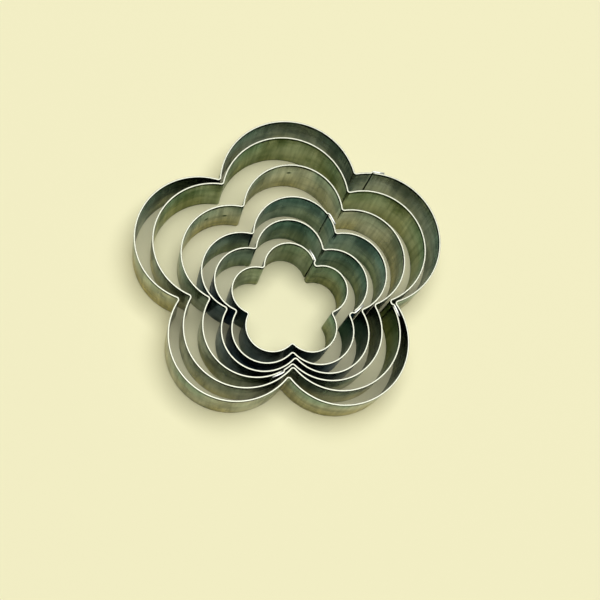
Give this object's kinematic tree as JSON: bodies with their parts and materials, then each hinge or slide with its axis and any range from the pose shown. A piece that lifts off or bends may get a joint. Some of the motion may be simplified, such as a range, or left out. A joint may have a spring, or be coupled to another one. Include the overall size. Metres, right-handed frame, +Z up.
{
  "type": "nested flower cutter set",
  "caption": "Flower-shaped pastry cutters nested one inside another, each bent from thin metal strip with tight notches between round petals and a lapped, spot-welded seam.",
  "frame": {"origin": "on the surface the set stands on, under the middle of the largest cutter's outline", "axes": "+Z up, +Y the way one petal of each cutter points, +X to the right of that"},
  "size_m": [0.1022, 0.0978, 0.019],
  "materials": {
    "tinned_strip": "satin tinned steel strip with fine upright drawing lines and dull spots"
  },
  "bodies": {
    "largest_cutter": {"largest_cutter": "tinned_strip"},
    "second_cutter": {"second_cutter": "tinned_strip"},
    "third_cutter": {"third_cutter": "tinned_strip"},
    "fourth_cutter": {"fourth_cutter": "tinned_strip"},
    "fifth_cutter": {"fifth_cutter": "tinned_strip"},
    "smallest_cutter": {"smallest_cutter": "tinned_strip"}
  },
  "joints": [
    {"name": "second_lift", "type": "slide", "parent": "largest_cutter", "child": "second_cutter", "axis": [0, 0, 1], "range_m": [0, 0.025]},
    {"name": "third_lift", "type": "slide", "parent": "largest_cutter", "child": "third_cutter", "axis": [0, 0, 1], "range_m": [0, 0.025]},
    {"name": "fourth_lift", "type": "slide", "parent": "largest_cutter", "child": "fourth_cutter", "axis": [0, 0, 1], "range_m": [0, 0.025]},
    {"name": "fifth_lift", "type": "slide", "parent": "largest_cutter", "child": "fifth_cutter", "axis": [0, 0, 1], "range_m": [0, 0.025]},
    {"name": "smallest_lift", "type": "slide", "parent": "largest_cutter", "child": "smallest_cutter", "axis": [0, 0, 1], "range_m": [0, 0.025]}
  ]
}
